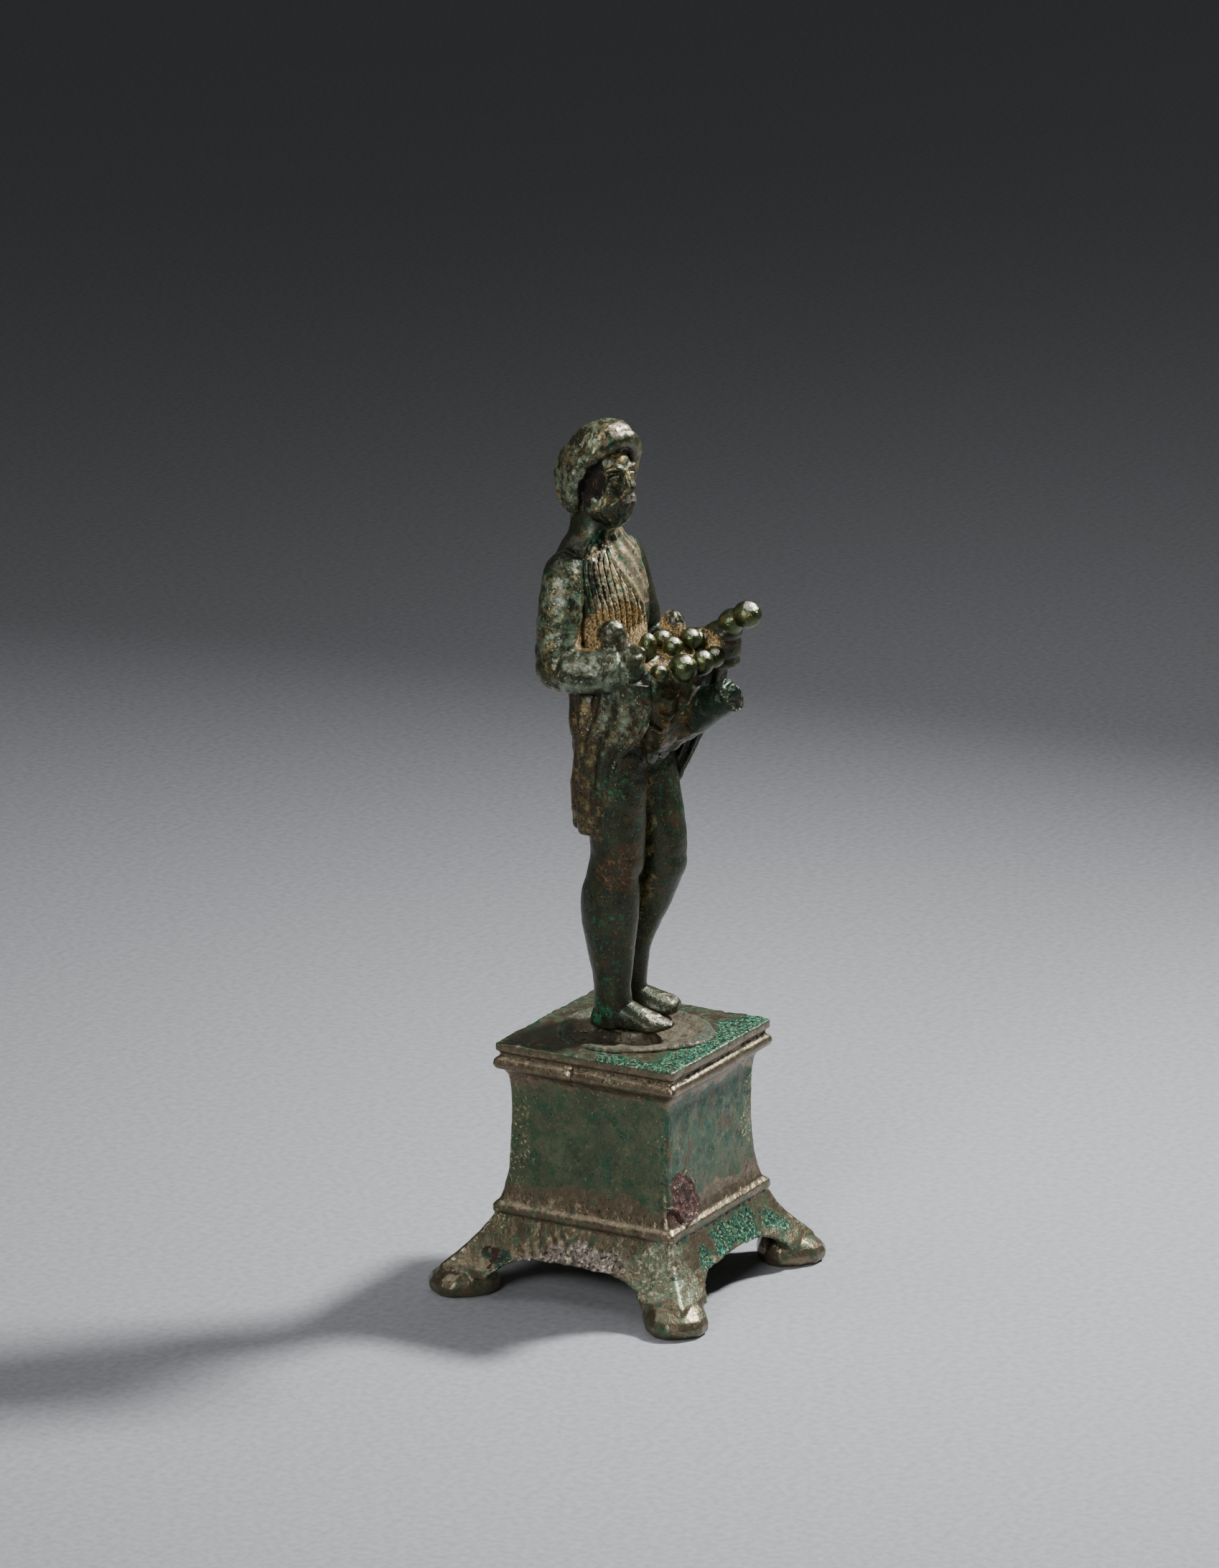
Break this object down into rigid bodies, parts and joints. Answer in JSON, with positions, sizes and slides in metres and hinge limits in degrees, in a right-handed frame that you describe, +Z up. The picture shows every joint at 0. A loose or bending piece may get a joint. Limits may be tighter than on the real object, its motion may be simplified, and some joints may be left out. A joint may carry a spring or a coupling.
{
  "type": "priapus statuette",
  "caption": "Cast bronze statuette of a standing bearded man in a pleated robe, holding up a lap of fruit, on a hollow square pedestal with flared feet.",
  "frame": {"origin": "on the surface it stands on, under the middle of the pedestal's pads", "axes": "+Z up; the figure faces -Y and its right hand is at -X"},
  "size_m": [0.042, 0.042, 0.1179],
  "materials": {
    "figure_bronze": "patinated cast bronze, dark olive brown with green corrosion, half glossy, earth in the hollows",
    "old_solder": "dull grey-brown solder and earth",
    "pedestal_bronze": "patinated cast bronze, grey-brown mouldings and grey-green faces with turquoise and red corrosion"
  },
  "bodies": {
    "root": {"figure": "figure_bronze", "solder_bed": "old_solder", "pedestal": "pedestal_bronze"}
  },
  "joints": []
}
